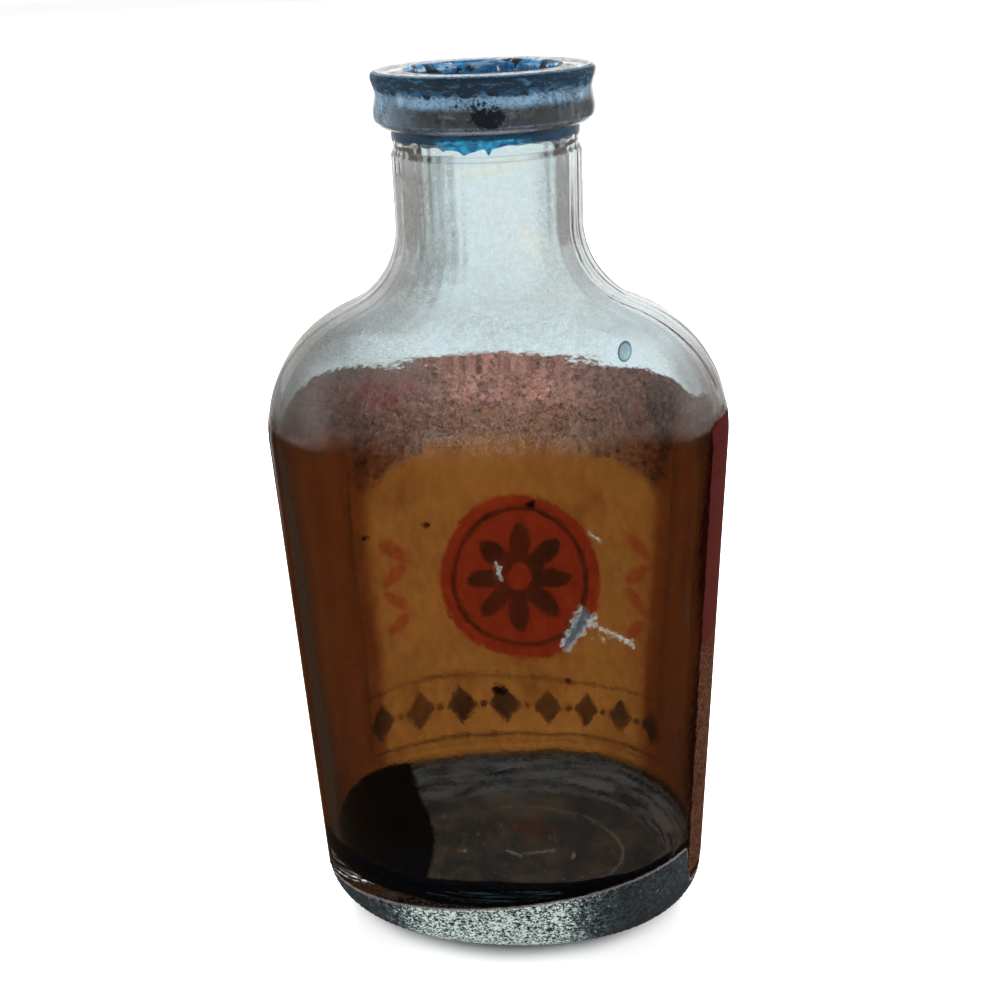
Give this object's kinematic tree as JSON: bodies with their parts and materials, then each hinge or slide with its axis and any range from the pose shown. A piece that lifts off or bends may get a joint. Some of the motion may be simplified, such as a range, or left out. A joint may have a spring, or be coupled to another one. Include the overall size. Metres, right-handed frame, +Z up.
{
  "type": "bluing bottle",
  "caption": "Flat oval clear glass bottle with a round collared neck, a worn wrap-around paper label and dried blue residue inside and at the mouth.",
  "frame": {"origin": "on the surface that the bottle stands on, under the middle of its box", "axes": "+Z up along the neck, +X along the wide side of the oval, +Y out of the labelled front, -Y out of the bare back"},
  "size_m": [0.0852, 0.059, 0.1649],
  "materials": {
    "clear_glass": "polished",
    "aged_paper": "matte",
    "dried_bluing": "satin",
    "bluing_film": "satin",
    "bluing_crust": "matte",
    "bright_bluing": "gloss"
  },
  "bodies": {
    "root": {"glass_bottle": "clear_glass", "paper_label": "aged_paper", "dried_bluing_pool": "dried_bluing", "mouth_film": "bluing_film", "collar_crust": "bluing_crust", "drip_ring": "bright_bluing"}
  },
  "joints": []
}
